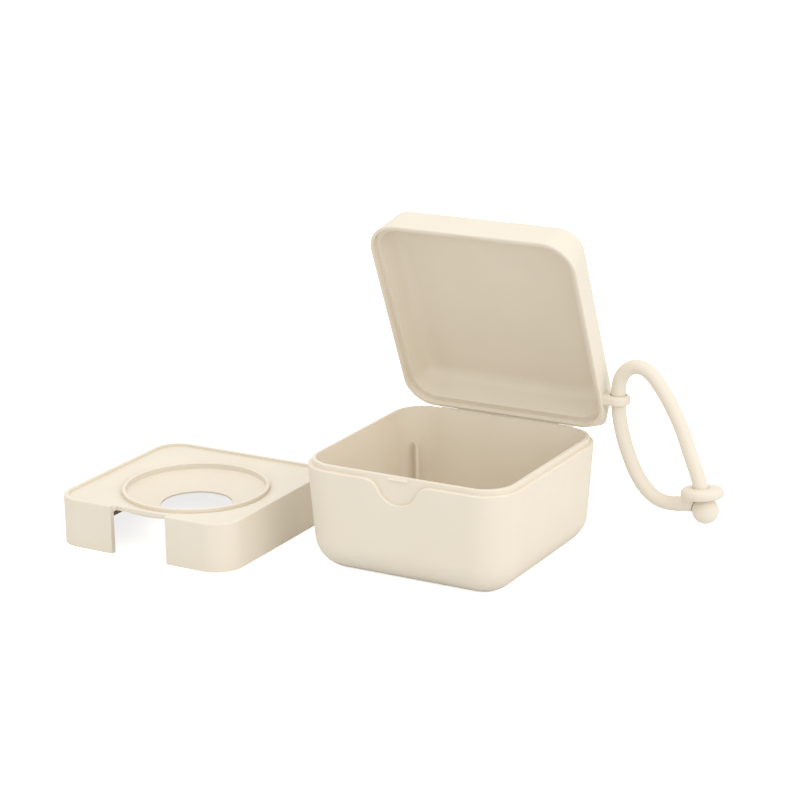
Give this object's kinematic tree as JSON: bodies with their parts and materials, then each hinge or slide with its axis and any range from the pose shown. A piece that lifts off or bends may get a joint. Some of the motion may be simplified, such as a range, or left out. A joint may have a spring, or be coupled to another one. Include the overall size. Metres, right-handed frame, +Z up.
{
  "type": "soother travel case",
  "caption": "Square soother case standing open on its hinge, with a loose dished tray beside it and a soft looped strap on the lid.",
  "frame": {"origin": "middle of the base's flat foot, on the table", "axes": "+Z up, +X to the case's right as seen from its notched front, +Y towards the hinge at the back"},
  "size_m": [0.2147, 0.109, 0.1147],
  "materials": {
    "cream_plastic": "satin moulded",
    "cream_silicone": "matte silicone",
    "steel_wire": "drawn wire"
  },
  "bodies": {
    "base": {"base": "cream_plastic", "hinge_pin": "steel_wire"},
    "lid": {"lid": "cream_plastic"},
    "tray": {"tray": "cream_plastic"},
    "strap": {"strap_cord": "cream_silicone", "strap_ring": "cream_silicone", "strap_ball": "cream_silicone"}
  },
  "joints": [
    {"name": "lid_hinge", "type": "hinge", "parent": "base", "child": "lid", "pos_m": [0, 0.0412, 0.0371], "axis": [1, 0, 0], "range_deg": [-33, 66.9]},
    {"name": "tray_lift", "type": "slide", "parent": "base", "child": "tray", "axis": [0, 0, 1], "range_m": [0, 0.08]},
    {"name": "strap_swing", "type": "hinge", "parent": "lid", "child": "strap", "pos_m": [0.04395, 0.0412, 0.0509], "axis": [0, 0, 1], "range_deg": [-40, 45]}
  ]
}
